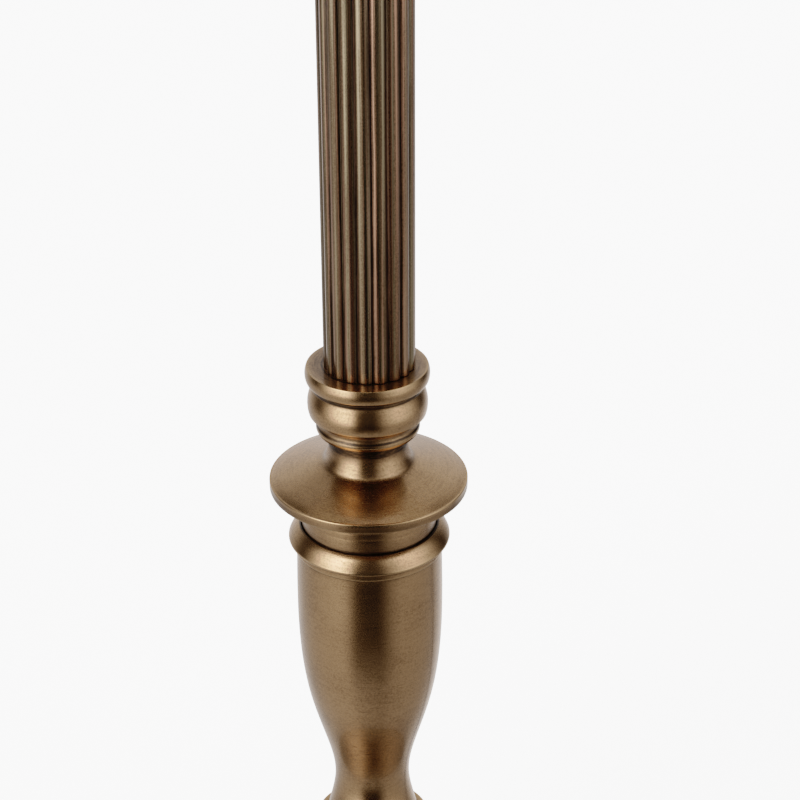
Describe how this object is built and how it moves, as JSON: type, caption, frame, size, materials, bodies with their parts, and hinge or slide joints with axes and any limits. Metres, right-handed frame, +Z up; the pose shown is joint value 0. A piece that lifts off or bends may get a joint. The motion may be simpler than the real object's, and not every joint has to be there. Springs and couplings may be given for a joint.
{
  "type": "table lamp",
  "caption": "Candlestick table lamp: weighted round foot, turned antique-brass stem with drip pan and reeded column, bayonet lampholder with push-bar switch, tapered fabric shade.",
  "frame": {"origin": "centre of the felt's underside, on the table, on the axis of the stem", "axes": "+Z up along the stem, -Y to the front, +X to the right; the cord inlet faces +Y"},
  "size_m": [0.3011, 0.3012, 0.6247],
  "materials": {
    "antique_brass": "antique, brushed round the turning, dark in the grooves",
    "fitting_brass": "satin, lacquered",
    "contact_brass": "bright",
    "bar_brass": "satin",
    "zinc_steel": "zinc plated",
    "spring_steel": "drawn wire",
    "cast_iron": "rough cast",
    "felt": "dense felt",
    "black_plastic": "moulded",
    "white_metal": "powder coated",
    "shade_fabric": "plain weave linen",
    "shade_liner": "smooth translucent sheet",
    "shade_tape": "folded linen tape"
  },
  "bodies": {
    "lamp": {"base_foot": "antique_brass", "foot_knop": "antique_brass", "vase": "antique_brass", "drip_pan": "antique_brass", "column_seat": "antique_brass", "column": "antique_brass", "column_cap": "antique_brass", "candle_cup": "antique_brass", "lampholder_cap": "fitting_brass", "bayonet_barrel": "fitting_brass", "outer_skirt": "fitting_brass", "felt_pad": "felt", "base_weight": "cast_iron", "washer": "zinc_steel", "lock_nut": "zinc_steel", "threaded_tube": "zinc_steel", "cord_bush": "black_plastic", "grub_screw": "zinc_steel", "switch_block": "black_plastic", "terminal_screws": "contact_brass", "contact_spring_front": "spring_steel", "contact_spring_rear": "spring_steel"},
    "push_bar": {"push_bar": "bar_brass"},
    "contact_front": {"contact_plunger_front": "contact_brass"},
    "contact_rear": {"contact_plunger_rear": "contact_brass"},
    "shade_ring": {"shade_ring": "fitting_brass"},
    "shade": {"shade_plate": "white_metal", "shade_arms": "white_metal", "shade_bottom_ring": "white_metal", "shade_top_ring": "white_metal", "shade_liner": "shade_liner", "shade_cover": "shade_fabric", "shade_bottom_tape": "shade_tape", "shade_top_tape": "shade_tape"}
  },
  "joints": [
    {"name": "push_bar_slide", "type": "slide", "parent": "lamp", "child": "push_bar", "axis": [1, 0, 0], "range_m": [-0.006, 0]},
    {"name": "contact_front_slide", "type": "slide", "parent": "lamp", "child": "contact_front", "axis": [0, 0, 1], "range_m": [-0.0035, 0], "stiffness_N_per_m": 600, "springref_m": 0.003, "deforming": ["contact_spring_front"]},
    {"name": "contact_rear_slide", "type": "slide", "parent": "lamp", "child": "contact_rear", "axis": [0, 0, 1], "range_m": [-0.0035, 0], "stiffness_N_per_m": 600, "springref_m": 0.003, "deforming": ["contact_spring_rear"]},
    {"name": "shade_ring_turn", "type": "hinge", "parent": "lamp", "child": "shade_ring", "pos_m": [0, 0, 0.49195], "axis": [0, 0, 1], "continuous": true},
    {"name": "shade_turn", "type": "hinge", "parent": "lamp", "child": "shade", "pos_m": [0, 0, 0.49065], "axis": [0, 0, 1], "continuous": true}
  ]
}
